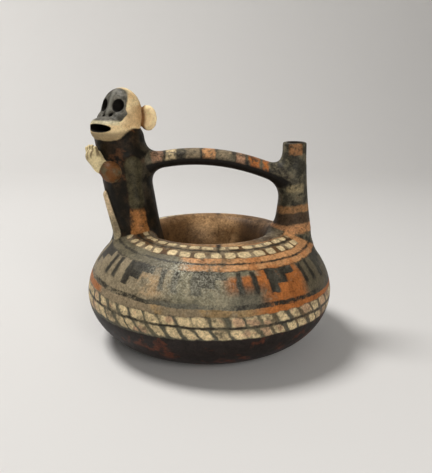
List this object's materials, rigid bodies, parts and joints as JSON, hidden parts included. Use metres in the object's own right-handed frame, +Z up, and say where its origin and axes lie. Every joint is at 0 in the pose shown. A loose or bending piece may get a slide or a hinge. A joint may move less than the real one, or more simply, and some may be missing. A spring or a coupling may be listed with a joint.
{
  "type": "ring vase",
  "caption": "Ring-shaped fired clay vessel with a centre hole, a hollow monkey figure and a tapering spout, joined by a flat bridge.",
  "frame": {"origin": "on the ring's axis, at the level that the foot stands on", "axes": "+Z up along the ring's axis, +X from the monkey towards the spout, and the pictured side faces -Y"},
  "size_m": [0.176, 0.176, 0.1785],
  "materials": {
    "painted_clay": "satin"
  },
  "bodies": {
    "root": {"vase": "painted_clay"}
  },
  "joints": []
}
